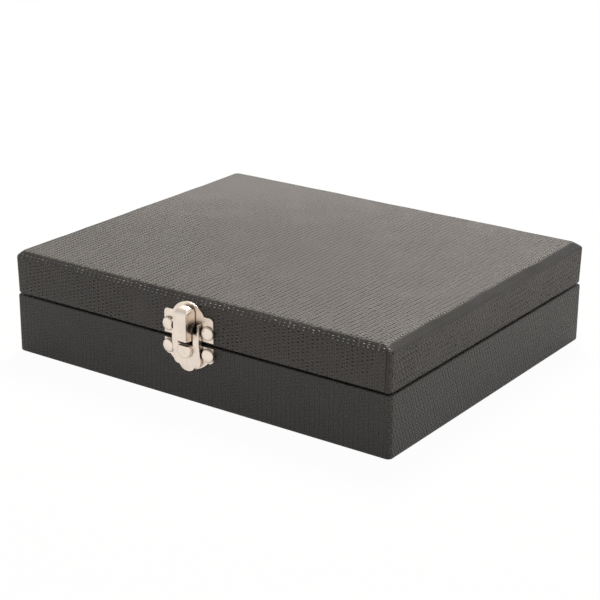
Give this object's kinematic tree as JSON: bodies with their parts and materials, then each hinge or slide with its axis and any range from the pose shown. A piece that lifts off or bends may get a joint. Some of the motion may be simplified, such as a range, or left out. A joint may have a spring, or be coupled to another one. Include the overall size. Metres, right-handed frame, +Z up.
{
  "type": "cufflink box",
  "caption": "Low rectangular leatherette case with a hinged lid, a push latch in front and cushioned, slotted compartments inside for cufflinks.",
  "frame": {"origin": "middle of the flat bottom face, on the surface that the box stands on", "axes": "+X to the right along the front, +Y from the latch to the hinges, +Z up"},
  "size_m": [0.203, 0.1786, 0.0489],
  "materials": {
    "leatherette": "dark grey embossed scale grain, satin",
    "fibreboard": "bare fibreboard",
    "bottom_paper": "flocked paper",
    "velvet": "short pile velvet",
    "velvet_pad": "short pile velvet over foam",
    "latch_nickel": "polished warm nickel plate",
    "hinge_nickel": "polished nickel plate",
    "spring_steel": "bright strip steel"
  },
  "bodies": {
    "base": {"base_front_board": "fibreboard", "base_back_board": "fibreboard", "base_left_board": "fibreboard", "base_right_board": "fibreboard", "base_floor_board": "fibreboard", "base_cover": "leatherette", "bottom_sheet": "bottom_paper", "base_lining": "velvet", "compartment_pads": "velvet_pad", "long_divider_1": "velvet", "long_divider_2": "velvet", "long_divider_3": "velvet", "cross_divider_1": "velvet", "cross_divider_2": "velvet", "cross_divider_3": "velvet", "cross_divider_4": "velvet", "latch_lower_plate": "latch_nickel", "latch_pin": "latch_nickel", "latch_spring": "spring_steel", "latch_lower_nails": "latch_nickel", "hinge_base_leaf_1": "hinge_nickel", "hinge_base_leaf_2": "hinge_nickel", "hinge_pin_1": "hinge_nickel", "hinge_pin_2": "hinge_nickel", "hinge_base_nails": "hinge_nickel"},
    "lid": {"lid_front_board": "fibreboard", "lid_back_board": "fibreboard", "lid_left_board": "fibreboard", "lid_right_board": "fibreboard", "lid_top_board": "fibreboard", "lid_cover": "leatherette", "lid_lining": "velvet", "lid_pad": "velvet_pad", "latch_upper_plate": "latch_nickel", "latch_upper_nails": "latch_nickel", "hinge_lid_leaf_1": "hinge_nickel", "hinge_lid_leaf_2": "hinge_nickel", "hinge_lid_nails": "hinge_nickel"},
    "lever": {"latch_lever": "latch_nickel"}
  },
  "joints": [
    {"name": "lid_hinge", "type": "hinge", "parent": "base", "child": "lid", "pos_m": [0, 0.08465, 0.02845], "axis": [-1, 0, 0], "range_deg": [0, 95]},
    {"name": "lever_pivot", "type": "hinge", "parent": "base", "child": "lever", "pos_m": [0, -0.0866, 0.03575], "axis": [1, 0, 0], "range_deg": [0, 14], "stiffness_Nm_per_rad": 0.03, "springref_deg": -11.46, "deforming": ["latch_spring"]}
  ]
}
